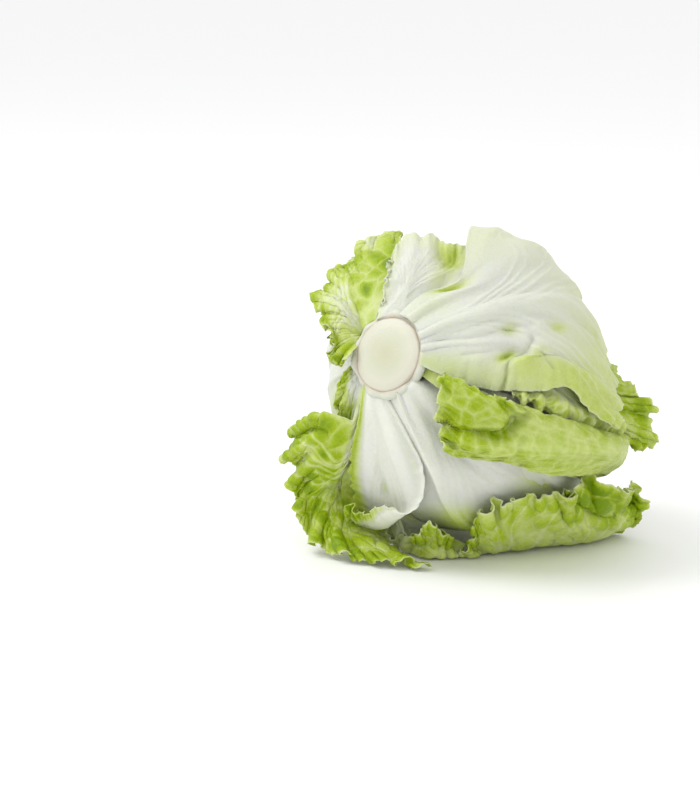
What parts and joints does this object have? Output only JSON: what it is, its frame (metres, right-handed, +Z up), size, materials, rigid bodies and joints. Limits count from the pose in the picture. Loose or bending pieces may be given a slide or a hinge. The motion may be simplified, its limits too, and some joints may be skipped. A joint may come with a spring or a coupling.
{
  "type": "iceberg lettuce",
  "caption": "Iceberg lettuce head lying on its side: a round head of wrapped leaves with a cut stem, one leaf turned back over itself and ruffled outer leaves spread on the surface.",
  "frame": {"origin": "middle of the flat spot on the underside of leaf_floor, on which the head rests", "axes": "+Z up, away from the surface; the cut stem looks along -Y and 21 degrees upwards; +X is the side of the folded leaf"},
  "size_m": [0.1701, 0.1672, 0.1687],
  "materials": {
    "cut_stem": "moist cut plant flesh, cream with a pale yellow-green middle",
    "white_leaf": "waxy, thin and translucent, white at the ribs to pale green",
    "pale_leaf": "waxy, thin and translucent, pale green with fine veins",
    "green_leaf": "waxy, thin and translucent, bright yellow-green with light veins and edges"
  },
  "bodies": {
    "root": {"stem": "cut_stem", "heart": "pale_leaf", "leaf_top": "white_leaf", "leaf_upper_left": "white_leaf", "leaf_frill_left": "green_leaf", "leaf_left": "green_leaf", "leaf_floor_left": "green_leaf", "leaf_cup": "white_leaf", "leaf_side": "white_leaf", "leaf_floor": "green_leaf", "leaf_folded": "pale_leaf", "leaf_tucked": "green_leaf", "leaf_back": "white_leaf", "leaf_crown": "pale_leaf"}
  },
  "joints": []
}
